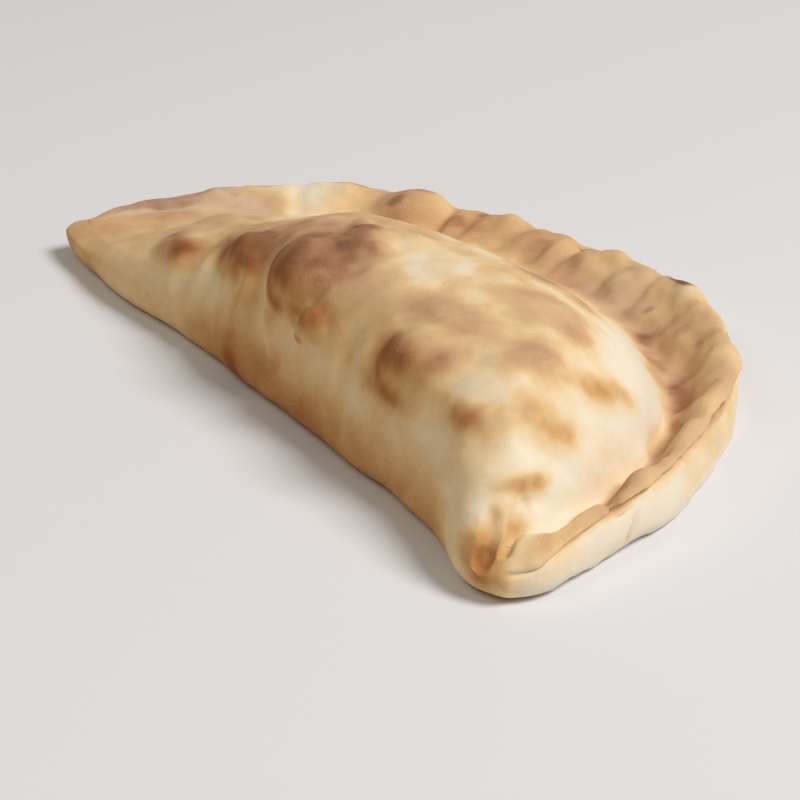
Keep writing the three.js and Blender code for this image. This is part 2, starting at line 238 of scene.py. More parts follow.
# ---- lumps along the rim: degrees, mm in from the widest line, half length, half width, height ---
RIM_LUMPS = [
    (3, 5, 8, 5, 1),
    (22, 7, 12, 6, 1.8),
    (35, 7, 14, 6, 1.8),
    (46, 8, 12, 8, 1.2),
    (46, 15, 9, 6, 0.8),
    (54, 19, 9, 7, 1.8),
    (56, 7, 10, 7, 1.2),
    (65, 8, 9, 7, 0.8),
    (68, 16, 11, 8, 2),
    (75, 6, 8, 6, 0.8),
    (77.5, 18, 8, 8, 1.2),
    (78.5, 4, 8, 4, 0.8),
    (87, 16, 12, 9, 1.2),
    (94, 6, 7, 6, 1.6),
    (96, 13, 9, 10, 2.4),
    (100.5, 6, 7, 6, -1.4),
    (102.5, 14, 4, 12, 1.2),
    (107, 14, 9, 10, 2),
    (112, 19, 9, 7, -0.8),
    (116.5, 13, 4.5, 12, 1.8),
    (120.5, 14, 8, 9, 1.6),
    (114, 6, 9, 7, 2.2),
    (128.5, 11, 17, 12, 5.8),
    (139, 6, 12, 8, 1.4),
    (152, 6, 9, 8, -0.6),
    (159, 6, 10, 8, 1.4),
    (168, 6, 12, 8, 0.6),
]

# ---- creases pressed across the rim: degrees on the crest and at the belly, half width, depth ----
PLEATS = [
    (16, 14, 4, 1.6),
    (29, 28, 4, 1),
    (40.5, 42, 6, 0.6),
    (51, 49, 5, 1.4),
    (61, 57, 6, 0.5),
    (74, 72, 6, 0.8),
    (84.5, 82, 5, 0.9),
    (91, 90, 5, 0.6),
    (101, 99, 4, 1.3),
    (111, 110, 6, 0.7),
    (124, 122, 5, 2),
    (137, 138, 6, 0.8),
    (147, 147, 6, 0.8),
    (158, 158, 8, 0.5),
]
PLEAT_START, PLEAT_FADE, PLEAT_END_SHARE = 1.0, 4.0, 0.8

# ---- creases on top: from x, y to x, y, half width, depth ----------------------------------------
CREASES = [
    (133, 13.5, 138, 6.5, 3, 2.2),
    (138, 6.5, 142.5, 1, 2.8, 2.2),
    (134.5, 1.6, 138.8, -2.7, 3.6, 1.4),
    (138.8, -2.7, 142.5, -9, 3.6, 1.8),
    (122, 20, 124, 34, 4, 0.8),
]

# ---- grooves in the fold's wall: x at half height, half width, depth, mm of x per mm down --------
FLUTES = [
    (-60, 8, 1.4, 0.2),
    (-43, 10, 2.6, 0.15),
    (-8, 9, 3.8, 0.6),
    (10, 6, 2.6, -0.4),
    (47, 7, 2.2, 0.2),
    (95, 9, 0.9, 0),
]
FLUTE_MIDDLE, FLUTE_LOW, FLUTE_HIGH, FLUTE_FADE, FLUTE_REACH = 25.0, 5.0, 44.0, 12.0, 26.0

# ---- finer unevenness of the skin: mm across and mm of height ------------------------------------
SWELLS = [(26, 0.45), (11, 0.15), (5, 0.06)]
RIM_SWELLS = [(12, 0.9), (5, 0.25)]
RIM_SWELL_FADE, RIM_SWELL_FULL, RIM_SWELL_END = 2, 0.9, 1.2

# ---- noises: where each begins, and how far apart they lie ---------------------------------------
SWELL_SEED, RIM_SWELL_SEED, RAGGED_SEED, DUST_SEED, MOTTLE_SEED = 0, 10, 20, 30, 40
SEED_SHIFT = (7.3, 3.1, 5.7)
NOISE_GAIN = 2

# ---- the relief dies out under the calzone: climb from and to ------------------------------------
RELIEF_FOOT, RELIEF_FULL = -1, -0.5

# ---- browning of the belly, with some painted shade: x, y, half length, half width, turn in degrees, level ---
BROWNED_AND_SHADED = [
    (-134, 22, 18, 30, 0, 0.4),
    (-122, 34, 14, 14, 0, 0.3),
    (-119, 64, 10, 13, 0, 0.3),
    (-83, 37, 16, 10, 0, 0.3),
    (-100, 18, 24, 14, 0, 0.34),
    (-56, 24, 40, 10, 0, 0.42),
    (-78, 27, 16, 8, 0, 0.2),
    (-22, 28, 14, 8, 0, 0.35),
    (-2, 24, 10, 7, 0, 0.35),
    (12, 19, 8, 6, 0, 0.25),
    (14, 13, 6, 5, 0, 0.25),
    (-46, 46, 34, 14, 0, 0.34),
    (-22, 22, 22, 12, 8, 0.42),
    (-8, 54, 20, 16, 0, 0.36),
    (6, 20, 22, 11, 0, 0.42),
    (3.8, 17.2, 6, 5, 0, 0.4),
    (3, 24, 14, 9, 0, 0.2),
    (42, 17, 16, 8, 30, 0.32),
    (10, 8, 5, 5, 0, 0.25),
    (33, 7, 10, 6, 0, 0.2),
    (34, 26, 18, 7, 0, 0.26),
    (40, 60, 24, 6, 8, 0.2),
    (46, 78, 20, 9, 15, 0.66),
    (68, 30, 20, 10, 12, 0.46),
    (78, 58, 18, 14, 30, 0.36),
    (-77, 9, 13, 6.5, 0, 0.62),
    (-71, 8, 9, 4.5, 0, 0.56),
    (-112, 52, 9, 15, 15, 0.36),
    # This row darkens the fold's side beside the blister near x = -75: painted shade.
    (-62, 13, 6, 5, 0, 0.2),
    (-49, 14, 8, 6, 0, 0.66),
    (-30, 17, 15, 7.5, 6, 0.58),
    (-40, 12, 8, 6, 0, 0.4),
    (-24, 12, 7, 6, 0, 0.44),
    (-37, 7.5, 9, 3, 0, 0.3),
    (-25, 18, 8, 5, 0, 0.2),
    (-31, 8, 5, 3, 0, 0.3),
    (-29, 10, 13, 2.4, 0, 0.4),
    (-3, 12, 10, 6, 0, 0.4),
    (-2, 13, 8, 6.5, 0, 0.66),
    (0, 10, 6, 3, 0, 0.4),
    (13, 17, 12, 8, 0, 0.3),
    (20, 6.4, 10, 3, -4, 0.46),
    (25, 8, 7, 4.5, 10, 0.6),
    (11, 30, 9, 6, 8, 0.8),
    (16, 32, 6, 6, 0, 0.5),
    (1, 36, 12, 8, -35, 0.74),
    (-9, 41, 8, 3.5, -42, 0.12),
    (75, 14, 16, 9, 8, 0.26),
    (66, 12, 9, 4.5, -4, 0.58),
    (69, 5.5, 13, 4, 0, 0.4),
    (72, 12, 8, 4.5, 0, 0.4),
    (-16, 8, 6, 9, 0, -0.2),
    (34, 6, 4, 9, 0, -0.1),
    (86, 27, 7, 3, -20, -0.2),
    (60, 8, 5, 5, 0, 0.3),
    (86, 18, 8, 4, 60, 0.42),
    (84, 20, 7, 5, 40, 0.2),
    (79, 16, 7, 4, 20, 0.35),
    (72, 24, 15, 2.6, -7, 0.3),
    (101, 11, 10, 4, 2, 0.44),
    (106.5, 11, 6, 3, 0, 0.34),
    (109, 14.5, 3.5, 4, 0, 0.3),
    (98, 37, 12, 6.5, 84, 0.46),
    (103, 46.5, 6, 5, 98, 0.3),
    (91, 30, 7, 6, 30, 0.12),
    (103.5, 54, 7, 4.5, 98, 0.32),
    (102, 62, 7, 4.5, 98, 0.26),
    (112, 62, 12, 12, 0, -0.14),
    (100.5, 70, 7, 4, 98, 0.24),
    (118, 34.5, 8, 4, 97, 0.36),
    (105, 57, 7, 5, 98, 0.16),
    (113, 16, 5, 4, 0, 0.15),
    (84, 82, 12, 8, -45, -0.12),
    (115, 27, 7, 6, 90, 0.36),
    (84, 62, 10, 5, -60, 0.32),
    (64, 54, 9, 5, 60, 0.24),
    (122, 6, 8, 8, 80, 0.16),
    (130, 12, 8, 2.2, 93, 0.34),
    (129.4, 19, 7, 2.4, 98, 0.34),
    (136.8, -1, 4, 6, 80, 0.3),
    # The rows at (136.8, 7.8), (133.8, 4), (137, -3.5), (140, -6), (141, 4.8) and (143, -1.5) darken the
    # creases, the hollow and the place under the lip at the front tip: partly browning, partly painted
    # shade.
    (136.8, 7.8, 4.5, 3, -50, 0.5),
    (133.8, 4, 3, 3, 0, 0.2),
    (137, -3.5, 5, 5, 80, 0.46),
    (131, -0.5, 4, 5, 0, -0.15),
    (143, -4, 5, 4, 0, 0.3),
    (140, -6, 6, 3.6, -60, 0.62),
    (141, 4.8, 7, 1.3, -47, 0.5),
    (143, -1.5, 2.6, 2, 0, 0.3),
    (143.5, 4.5, 3.5, 2.5, 60, 0.3),
    (145, 8, 3, 2.5, 60, 0.2),
    (118, 52, 9, 16, 15, 0.16),
    (-18, 2, 6, 9, 0, 0.2),
    (0, 4, 6, 5, 0, 0.2),
]

# ---- browning of the rim, with painted shade in the valley and painted highlights on the crest: degrees, mm in from the widest line, half length, half width, how far --
RIM_BROWNED_SHADED_AND_LIT = [
    (1.2, 1.1, 1.3, 0.9, 0.7),
    (3, 2, 4, 3, 0.4),
    (4, 6.5, 5, 2.5, 0.3),
    (7, 4, 4, 3, 0.2),
    (12, 7, 9, 3, 0.2),
    (16, 6, 4, 3, 0.2),
    # This row darkens the lip's crest near the front tip: painted shade.
    (14.5, 3, 7, 2.5, 0.3),
    # The next two rows are painted highlights: paler along the lip's outer crest.
    (22, 2, 10, 2, -0.3),
    (31, 1.5, 12, 2, -0.25),
    # The rows at 19, 27, 36, 43.5, 51 and 57 degrees paint the shadow that the rim's crest casts into the
    # valley.
    (19, 7.5, 9, 2.6, 0.5),
    (27, 10, 9, 2.6, 0.5),
    (36, 13.3, 10, 3, 0.62),
    (30, 4, 10, 2.4, 0.2),
    (43.5, 13.3, 9, 3, 0.6),
    (51, 17, 8, 3.4, 0.6),
    (57, 20.5, 8, 3.4, 0.6),
    # The next four rows darken the crest's inner slope: painted shade.
    (25, 7, 12, 5, 0.24),
    (36, 7, 12, 5, 0.24),
    (50, 8, 11, 6, 0.24),
    (40, 14, 8, 3, 0.24),
    (51, 5, 7, 3.5, 0.42),
    # The next two rows paint contact shade deep in the valley at the belly's foot.
    (88, 22, 8, 4, 0.2),
    (97, 27, 10, 4, 0.4),
    # From here to the row at 94 degrees the rows paint the dark contact shadow along the belly's foot, deep
    # in the valley.
    (49, 17, 7, 3, 0.34),
    (55.5, 19, 8, 5.5, 0.46),
    (56, 23, 9, 4, 0.4),
    (59, 27.5, 8, 2.6, 0.4),
    (66, 27.5, 10, 3, 0.5),
    (64, 24.5, 9, 3.4, 0.55),
    (72, 24.5, 9, 3.4, 0.55),
    (73, 25.5, 9, 3, 0.5),
    (66, 25, 16, 5, 0.36),
    (82, 24, 14, 5.5, 0.5),
    (94, 24, 12, 5, 0.36),
    (64, 12, 16, 8, 0.14),
    (74, 15, 14, 8, 0.16),
    # The next two rows are painted highlights: paler than raw dough where the crest catches the lamp.
    (75.5, 9.5, 6, 3, -0.25),
    (74.2, 5.8, 8, 3, -0.25),
    (87, 12, 10, 7, 0.1),
    (97.5, 16, 7, 8, 0.34),
    (105, 14, 10, 9, 0.24),
    (104, 18, 5, 6, 0.3),
    (111, 14, 9, 9, 0.2),
    (117, 12, 6, 9, 0.42),
    (121, 16, 9, 8, 0.3),
    (124.3, 9, 6, 6, -0.25),
    (146, 11, 6, 8, -0.15),
    (130, 14, 13, 11, 0.36),
    (130, 10, 9, 9, 0.2),
    (159, 8, 12, 8, 0.22),
    (170, 8, 14, 8, 0.26),
]

# ---- browning all along, on the fold's side with painted shade: the fold by mm, the rim and the outer wall by degrees, level ---
FOLD_BAKE_AND_SHADE = [
    (-150, 0.3),
    (-90, 0.26),
    (-60, 0.3),
    (-38, 0.5),
    (-28, 0.6),
    (-18, 0.8),
    (-8, 0.62),
    (10, 0.6),
    (30, 0.64),
    (50, 0.56),
    (66, 0.5),
    (90, 0.52),
    (112, 0.42),
    (130, 0.2),
]
RIM_BAKE = [
    (0, 0.14),
    (18, 0.3),
    (45, 0.3),
    (55, 0.28),
    (75, 0.3),
    (90, 0.36),
    (130, 0.32),
    (138, 0.26),
    (143, 0.08),
    (149, 0),
    (153, 0.08),
    (160, 0.42),
    (180, 0.6),
]
WALL_BAKE = [(-15, 0), (0, 0.08), (9, 0.04), (18, -0.15), (26, 0), (37, 0.16), (55, 0.1), (180, 0.2)]

# ---- where each of them fades out: shares of the wall, shares of the rim's width, mm -------------
WALL_BAKE_START = -0.2
ABOVE_WALL_FROM, ABOVE_WALL_FULL = 0.3, 0.7
RIM_BAKE_FULL, RIM_BAKE_END = 0.8, 1.1
FOLD_BAKE_FULL, FOLD_BAKE_END = 5.0, 18.0
# The fold's side is darker towards its foot: painted shade over its real browning, less and less on its way
# up.
FOLD_FADE_FROM, FOLD_FADE_FULL, FOLD_FADE = 7.0, 28.0, 0.66

# ---- how steeply patches fade, and how much rawer than raw a paler place, such as a painted highlight, may come out ---
PATCH_SHARPNESS = 0.9
RAWEST = 1.15

# ---- crisp spots on the rim: degrees, mm in, half length, half width, how far it is baked --------
RIM_SPOTS = [
    (43, 15, 4, 2, 0.3),
    (46.5, 12, 5, 2, 0.2),
    (53, 17.5, 6, 4.5, 0.16),
    (63, 9.3, 3, 5, 0.26),
    (67.7, 14.4, 2.5, 2.5, 0.3),
    (68.3, 8.4, 3.5, 3, 0.15),
    (71.9, 8, 2.5, 2, 0.2),
    (72.1, 19, 2, 5, 0.3),
    (77.7, 17, 3.5, 2.5, 0.5),
    (78.6, 4.6, 9, 2.2, 0.97),
    (86, 17, 3, 3, 0.2),
    (88, 9, 4, 2, 0.2),
    (97, 14.5, 4, 3, 0.3),
    (104.5, 14, 5, 3.5, 0.26),
    (108, 9, 4, 2.5, 0.12),
    (118, 6.5, 3, 2.5, 0.45),
    (120.5, 14, 4.5, 4, 0.25),
    (130.6, 13, 4.2, 2.8, 0.5),
    (128.5, 5.5, 7, 2, 0.3),
    (140, 4, 10, 1.6, 0.45),
    (152, 4, 5, 2, 0.3),
    (157.5, 7, 5, 3, 0.35),
    (163, 6, 10, 2, 0.25),
    (172, 11, 8, 3, 0.2),
]
SPOT_SOLID, SPOT_END = 0.5, 1.3

# ---- browned edges of bubbles, partly painted shade on their sides away from the key lamp: x, y, half length, half width, turn and side in degrees, level ----
BROWNED_AND_SHADED_EDGES = [
    (-36, 12, 17, 10, 12, 220, 0.16),
    (3, 13, 14, 14, 15, 225, 0.6),
    (20, 6, 12, 6.5, 0, 250, 0.4),
    (74, 13, 17, 14, 40, 235, 0.36),
]
EDGE_FROM, EDGE_FULL, EDGE_END = 0.1, 0.75, 1.15
EDGE_SIDE_WIDTH = 0.9

# ---- the dark line along the seam by degrees: bake level, half width in mm -----------------------
SEAM_BAKE = [(0, 0), (8, 0.4), (34, 0.5), (43, 0.72), (56, 0.8), (70, 0)]
SEAM_LINE = [(34, 0.5), (45, 0.9)]

# ---- mottling of the belly's top, and how ragged the patches' edges are: mm across and how much --
MOTTLE = 0.14
MOTTLE_SIZES = (22, 10)
MOTTLE_FROM, MOTTLE_FULL = -0.2, 1.0
TOP_LOW, TOP_HIGH = 28.0, 44.0
RAGGED_EDGES = [(13, 0.3), (6, 0.2), (3, 0.1)]

# ---- flour dust: heights in mm, steepness, and on the rim degrees and how much -------------------
DUST_LOW, DUST_HIGH = 24.0, 40.0
DUST_STEEP, DUST_FLAT = 0.6, 0.9
DUST_WAVER, DUST_WAVER_SIZE = 4, 15
FAR_DUST, FAR_DUST_FROM, FAR_DUST_TO = 24.0, -100.0, -50.0
RIM_DUST = [
    (0, 0.5),
    (12, 1),
    (25, 1.1),
    (75, 1.1),
    (85, 1.5),
    (95, 1),
    (110, 0.7),
    (140, 0.7),
    (155, 1.8),
    (180, 2),
]
RIM_DUST_FULL, RIM_DUST_END = 1.1, 1.7

# ---- colours as on a screen: the crust's by bake level, the dust's and the flour's ---------------
CRUST_COLOURS = [
    (0.00, (242, 229, 206)),
    (0.15, (239, 214, 173)),
    (0.30, (228, 190, 136)),
    (0.45, (211, 162, 107)),
    (0.60, (191, 133, 79)),
    (0.75, (165, 102, 54)),
    (0.90, (133, 76, 37)),
    (1.00, (88, 46, 22)),
]
DUST_COLOUR = (222, 200, 178)
FLOUR_COLOUR = (240, 228, 208)

# ---- unevenness of the browning: mm across and share ---------------------------------------------
NOISE_MIDDLE = 0.5
BROAD_SIZE, BROAD_SHARE = 14, 0.32
FINE_SIZE, FINE_SHARE = 2.2, 0.12

# ---- how much dust shows: from a bake level to a bake level, and the shares there ----------------
DUST_ON_PALE = (0.15, 0.5, 0, 0.32)
DUST_ON_DARK = (0.6, 0.9, 1, 0.45)

# ---- grains of flour, and where they are more: mm across, noise from and to, shares there --------
FLOUR_GRAIN_SIZE, FLOUR_GRAIN = 0.6, (0.5, 0.75)
FLOUR_PLACE_SIZE, FLOUR_PLACES = 24, (0.5, 0.7, 0.03, 0.25)

# ---- the crust's gloss, and how light scatters in it: mm -----------------------------------------
CRUST_ROUGHNESS = 0.85
CRUST_SPECULAR = 0.12
SCATTER_SHARE = 0.12
SCATTER_RED_GREEN_BLUE = (1.0, 0.55, 0.3)
SCATTER_DEPTH = 2.5

# ---- pits and pores: mm across, strength and mm deep ---------------------------------------------
PIT_SIZE, PIT_STRENGTH, PIT_DEPTH = 1.6, 0.35, 0.35
PORE_SIZE, PORE_STRENGTH, PORE_DEPTH = 0.45, 0.25, 0.12

# ---- how finely the skin is divided --------------------------------------------------------------
RINGS = 640
TIP_CROWDING = 0.06
UNDERSIDE_ROWS, WALL_ROWS, RIM_ROWS, BELLY_ROWS = 10, 34, 34, 72
WALL_TOP, BELLY_FOOT = 0.3, 0.55
NORMAL_STEP = 1e-3

# ---- camera, in the frame of the formulas: mm ----------------------------------------------------
CAMERA_AT = (641.9, -321.5, 339.7)
CAMERA_AIM = (-18.0, 61.1, -20.6)
CAMERA_LENS = 112.5

# ---- studio, in metres ---------------------------------------------------------------------------
FLOOR_REACH = 4.0
FLOOR_COLOUR = (0.8, 0.8, 0.84, 1)
FLOOR_ROUGHNESS = 0.9
KEY_AT = (1.5, 1.3, 2.5)
KEY_SIZE = 1.5
KEY_POWER = 82.0
KEY_COLOUR = (1.0, 0.985, 0.97)
SKY_AT = (-0.2, -1.5, 2.2)
SKY_SIZE = 1.6
SKY_POWER = 12.0
SKY_COLOUR = (1.0, 0.93, 0.78)
FILL_COLOUR = (1.0, 0.95, 0.8, 1)
FILL_STRENGTH = 0.18


def ease(start, end, value):
    t = np.clip((value - start) / (end - start), 0, 1)
    return t * t * (3 - 2 * t)


def bump(squared):
    """A round bump: 1 in the middle, 0 from a squared distance of 1 outwards."""
    return np.maximum(1 - squared, 0) ** 2


def rounded_max(a, b, radius):
    return (a + b + np.hypot(a - b, radius)) / 2


def along(table, place):
    """A value read from a table of (place, value) rows by a smooth curve, held past its ends."""
    places, values = np.array(table, float).T
    slopes = np.zeros_like(values)
    slopes[1:-1] = (values[2:] - values[:-2]) / (places[2:] - places[:-2])
    i = np.clip(np.searchsorted(places, place, side="right") - 1, 0, len(places) - 2)
    span = places[i + 1] - places[i]
    t = np.clip((place - places[i]) / span, 0, 1)
    rise = values[i + 1] - values[i]
    start_bend = (slopes[i] * span - rise) * t * (1 - t) ** 2
    end_bend = (slopes[i + 1] * span - rise) * t**2 * (t - 1)
    return values[i] + rise * t + (start_bend + end_bend)


def around(table, degrees):
    """The same for a table that closes round the edge."""
    return along(table + [(360, table[0][1])], degrees)


def from_front_tip(degrees):
    """Degrees round the edge counted from -90 to 270, so that they run on through the front tip."""
    return np.where(degrees > 270, degrees - 360, degrees)


def fold_line_y(x):
    narrowing = np.sqrt(np.maximum(1 - (x / HALF_LENGTH) ** 2, 0))
    return -along(FOLD_BOW, x) * narrowing**TIP_POWER


def outline(angle):
    degrees = np.degrees(angle)
    on_rim = degrees <= 180
    radius = along(RIM_RADIUS, degrees)
    fold_x = HALF_LENGTH * np.cos(angle)
    x = np.where(on_rim, radius * np.cos(angle), fold_x)
    y = np.where(on_rim, radius * np.sin(angle), fold_line_y(fold_x))
    rounded = bump(((x - NOSE[0]) ** 2 + (y - NOSE[1]) ** 2) / NOSE_REACH**2)
    return x - NOSE_PULL[0] * rounded, y + NOSE_PULL[1] * rounded


def rim_side(degrees):
    """1 along the rim and 0 along the fold."""
    place = from_front_tip(degrees)
    past_far_tip = ease(180 - RIM_SIDE_FADE, 180 + RIM_SIDE_FADE, place)
    return ease(-RIM_SIDE_FADE, RIM_SIDE_FADE, place) * (1 - past_far_tip)


def belly_height(x, y):
    """The belly rises as a quarter-round from the fold and more gently from the rim."""
    degrees = np.where(y < 0, np.where(x < 0, 180, 0), np.degrees(np.arctan2(y, x)))
    foot_radius = along(RIM_RADIUS, degrees) - along(BELLY_INSET, degrees)
    from_rim = (foot_radius**2 - x**2 - y**2) / (2 * foot_radius)
    from_fold = np.maximum(y - fold_line_y(x), 0)
    fold_rise = (1 - np.clip(1 - from_fold / FOLD_REACH, 0, 1) ** 2) ** FOLD_POWER
    rim_share = np.clip(from_rim / along(BELLY_REACH, degrees), 0, 1)
    rim_rise = np.sin(rim_share * pi / 2) ** along(BELLY_POWER, degrees)
    height = FOOT_HEIGHT + (along(CROWN_HEIGHT, x) - FOOT_HEIGHT) * fold_rise * rim_rise
    return np.where(from_rim > 0, height, FOOT_HEIGHT + from_rim * FOOT_SLOPE)


def rim_height(degrees, inset, band):
    """The rim's own height: a round outer wall up to the crest, then down inside."""
    crest = around(RIM_HEIGHT, degrees)
    bulge = around(BULGE_HEIGHT, degrees)
    lip = around(LIP_INSET, degrees)
    up = np.sqrt(1 - (1 - np.clip(inset / lip, 0, 1)) ** 2)
    down = ease(lip, np.maximum(band, lip + LEAST_INSIDE), inset)
    outside = bulge + (crest - bulge) * up
    inside = crest + (around(VALLEY_HEIGHT, degrees) - crest) * down
    return np.where(inset < lip, outside, inside)


def seam_offset(degrees, height, climb):
    """How far the lip stands out, or the seam cuts in, at a height on the outer wall."""
    place = from_front_tip(degrees)
    seamed = ease(SEAM_START, SEAM_FULL, place) * (1 - ease(SEAM_END - SEAM_FADE, SEAM_END, place))
    above_seam = height - along(SEAM_HEIGHT, np.maximum(place, 0))
    lip = LIP_OUT * bump(((above_seam - LIP_RISE) / LIP_HALF_WIDTH) ** 2)
    seam = SEAM_DEPTH * bump((above_seam / SEAM_HALF_WIDTH) ** 2)
    return seamed * (lip - seam) * (1 - ease(WALL_TOP * SEAM_CUT_END, WALL_TOP, climb))


class Skin:
    """Points of the skin without relief, with where each lies.

    degrees: round the edge, from the front tip by rim, far tip and fold
    climb: from -1 under the calzone, by 0 on the widest line, to 1 on the spine
    inset: mm in from the widest line
    band: the rim's width there in mm, and lip: the inset of its crest
    """

    def __init__(self, angle, climb):
        angle = np.mod(angle, 2 * pi)
        self.climb = climb
        self.degrees = np.degrees(angle)
        self.band = np.where(self.degrees <= 180, around(BELLY_INSET, self.degrees), FOLD_BAND)
        self.lip = around(LIP_INSET, self.degrees)
        edge_x, edge_y = outline(angle)
        to_spine_x = SPINE_SHARE * HALF_LENGTH * np.cos(angle) - edge_x
        to_spine_y = SPINE_Y - SPINE_DROP * np.cos(angle) ** SPINE_DROP_POWER - edge_y
        reach = np.hypot(to_spine_x, to_spine_y)
        self.inset = np.where(climb < 0, self.under_inset(), self.top_inset(reach))
        x = edge_x + to_spine_x * self.inset / reach
        y = edge_y + to_spine_y * self.inset / reach
        top = rounded_max(
            rim_height(self.degrees, self.inset, self.band),
            belly_height(x, y),
            BLEND * np.clip(self.inset / self.lip, 0, 1),
        )
        under = around(BULGE_HEIGHT, self.degrees) * (1 - np.sin(np.clip(-climb, 0, 1) * pi / 2))
        z = np.where(climb < 0, under, top)
        on_wall = (climb > SEAM_CUT_FOOT) & (climb < WALL_TOP)
        out = np.where(on_wall, seam_offset(self.degrees, z, climb), 0)
        self.points = np.stack([x - to_spine_x / reach * out, y - to_spine_y / reach * out, z], -1)

    def under_inset(self):
        quarter = np.clip(-self.climb, 0, 1) * pi / 2
        return around(UNDERCUT, self.degrees) * (1 - np.cos(quarter))

    def top_inset(self, reach):
        quarter = np.clip(self.climb / WALL_TOP, 0, 1) * pi / 2
        over_rim = np.clip((self.climb - WALL_TOP) / (BELLY_FOOT - WALL_TOP), 0, 1)
        over_belly = np.clip((self.climb - BELLY_FOOT) / (1 - BELLY_FOOT), 0, 1)
        over_wall = self.lip * (1 - np.cos(quarter))
        return over_wall + (self.band - self.lip) * over_rim + (reach - self.band) * over_belly


def skin_normals(angle, climb):
    before, after = np.maximum(climb - NORMAL_STEP, -1), np.minimum(climb + NORMAL_STEP, 1)
    round_edge = Skin(angle + NORMAL_STEP, climb).points - Skin(angle - NORMAL_STEP, climb).points
    upwards = Skin(angle, after).points - Skin(angle, before).points
    normals = np.cross(round_edge, upwards)
    return normals / np.linalg.norm(normals, axis=-1, keepdims=True)


def oval(points, x, y, half_length, half_width, turn):
    """Squared distance from a place on the belly, 1 at the rim of an oval."""
    away = points - np.array([x, y, belly_height(np.float64(x), np.float64(y))])
    lengthwise = away[..., 0] * cos(radians(turn)) + away[..., 1] * sin(radians(turn))
    crosswise = (away**2).sum(-1) - lengthwise**2
    return (lengthwise / half_length) ** 2 + crosswise / half_width**2


def round_edge_from(degrees, skin):
    """How far round the edge the skin lies from a place in degrees, in mm."""
    return np.radians(from_front_tip(skin.degrees) - degrees) * HALF_LENGTH


def up_the_wall(skin):
    """0 on the widest line and below it, 1 from half-way up the outer wall."""
    return np.clip(skin.climb / (WALL_TOP / 2), 0, 1)


def rim_oval(skin, at, inset, half_length, half_width):
    """The same on the rim, from a place in degrees and mm in from the widest line."""
    round_edge = round_edge_from(at, skin)
    return (round_edge / half_length) ** 2 + ((skin.inset - inset) / half_width) ** 2


def blister_relief(skin):
    smooth = sum(height * bump(oval(skin.points, *place)) for *place, height in BLISTERS)
    crisp = sum(height * np.maximum(1 - oval(skin.points, *place), 0) for *place, height in BUBBLES)
    return smooth + crisp


def crease_relief(skin):
    x, y = skin.points[..., 0], skin.points[..., 1]
    depth_here = 0
    for from_x, from_y, to_x, to_y, half_width, depth in CREASES:
        run_x, run_y = to_x - from_x, to_y - from_y
        share = np.clip(((x - from_x) * run_x + (y - from_y) * run_y) / (run_x**2 + run_y**2), 0, 1)
        away = (x - from_x - share * run_x) ** 2 + (y - from_y - share * run_y) ** 2
        depth_here = np.maximum(depth_here, depth * bump(away / half_width**2))
    return -depth_here * up_the_wall(skin)


def rim_relief(skin):
    height = sum(height * bump(rim_oval(skin, *place)) for *place, height in RIM_LUMPS)
    begins = ease(PLEAT_START, PLEAT_START + PLEAT_FADE, skin.inset)
    ends = 1 - ease(skin.band * PLEAT_END_SHARE, skin.band, skin.inset)
    for crest_at, foot_at, half_width, depth in PLEATS:
        at = crest_at + (foot_at - crest_at) * np.clip(skin.inset / skin.band, 0, 1)
        round_edge = round_edge_from(at, skin)
        height = height - depth * bump((round_edge / half_width) ** 2) * begins * ends
    return height * up_the_wall(skin)


def wall_crease(skin):
    """1 along the bottom of the crease in the outer wall."""
    z = skin.points[..., 2]
    at = WALL_CREASE_AT + WALL_CREASE_LEAN * (z - WALL_CREASE_MIDDLE)
    round_edge = round_edge_from(at, skin)
    begun = ease(WALL_CREASE_LOW, WALL_CREASE_LOW + WALL_CREASE_FADE, z)
    ended = ease(WALL_CREASE_HIGH - WALL_CREASE_FADE, WALL_CREASE_HIGH, z)
    return bump((round_edge / WALL_CREASE_HALF_WIDTH) ** 2) * begun * (1 - ended) * (skin.climb < WALL_TOP)


def flute_relief(skin):
    x, y, z = np.moveaxis(skin.points, -1, 0)
    rising = ease(FLUTE_LOW, FLUTE_LOW + FLUTE_FADE, z) * (1 - ease(FLUTE_HIGH - FLUTE_FADE, FLUTE_HIGH, z))
    strength = rising * (1 - ease(FLUTE_REACH / 2, FLUTE_REACH, y)) * (1 - rim_side(skin.degrees))
    depth_here = 0
    for at, half_width, depth, lean in FLUTES:
        middle = at + lean * (FLUTE_MIDDLE - z)
        depth_here = depth_here + depth * bump(((x - middle) / half_width) ** 2)
    return -depth_here * strength


def noise_at(points, size, seed):
    """Smooth noise from about -1 to 1 with features of a size in mm."""
    shift = Vector([seed * share for share in SEED_SHIFT])
    flat = points.reshape(-1, 3) / size
    values = [noise.noise(Vector(point) + shift) for point in flat.tolist()]
    return np.array(values).reshape(points.shape[:-1]) * NOISE_GAIN


def layered_noise(points, layers, seed):
    """Noises of several sizes in mm on top of each other, each with its own share."""
    return sum(share * noise_at(points, size, seed + i) for i, (size, share) in enumerate(layers))


def within_band(skin, full, end):
    """1 on the rim up to one share of its width, 0 from another share on, and 0 along the fold."""
    return (1 - ease(skin.band * full, skin.band * end, skin.inset)) * rim_side(skin.degrees)


def swell_relief(skin):
    on_rim = ease(0, RIM_SWELL_FADE, skin.inset) * within_band(skin, RIM_SWELL_FULL, RIM_SWELL_END)
    belly = layered_noise(skin.points, SWELLS, SWELL_SEED)
    return belly + layered_noise(skin.points, RIM_SWELLS, RIM_SWELL_SEED) * on_rim


